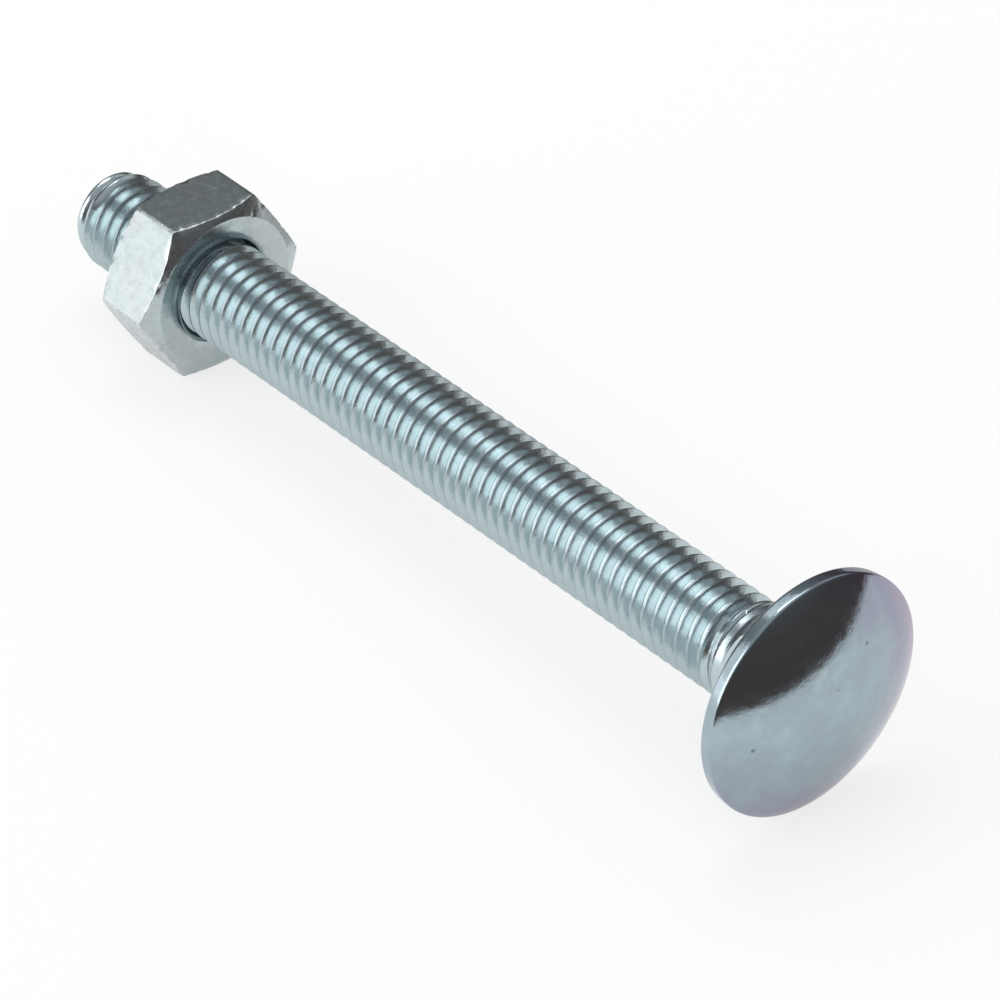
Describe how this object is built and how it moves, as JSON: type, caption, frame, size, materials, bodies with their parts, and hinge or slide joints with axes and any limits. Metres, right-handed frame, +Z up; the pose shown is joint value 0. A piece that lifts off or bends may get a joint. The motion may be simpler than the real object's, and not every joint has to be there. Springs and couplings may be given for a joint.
{
  "type": "carriage bolt",
  "caption": "Carriage bolt lying at rest: low domed head, square neck under it, shank threaded nearly up to its neck, and a hexagon nut run on near the tip.",
  "frame": {"origin": "on the surface it lies on, under the middle of its overall box", "axes": "+X from the tip towards the head, +Z up. The bolt's own axis lies in the XZ plane and climbs towards the head, because the head is wider than the nut."},
  "size_m": [0.1038, 0.024, 0.0241],
  "materials": {
    "bolt_zinc": "steel, bright zinc plated with a thin blue passivation, light handling marks",
    "nut_zinc": "steel, bright zinc plated with a thin blue passivation, corners nicked"
  },
  "bodies": {
    "bolt": {"bolt": "bolt_zinc"},
    "nut": {"hex_nut": "nut_zinc"}
  },
  "joints": [
    {"name": "nut_travel", "type": "slide", "parent": "bolt", "child": "nut", "axis": [0.9992, 0, 0.0412], "range_m": [-0.0165, 0.072]}
  ]
}
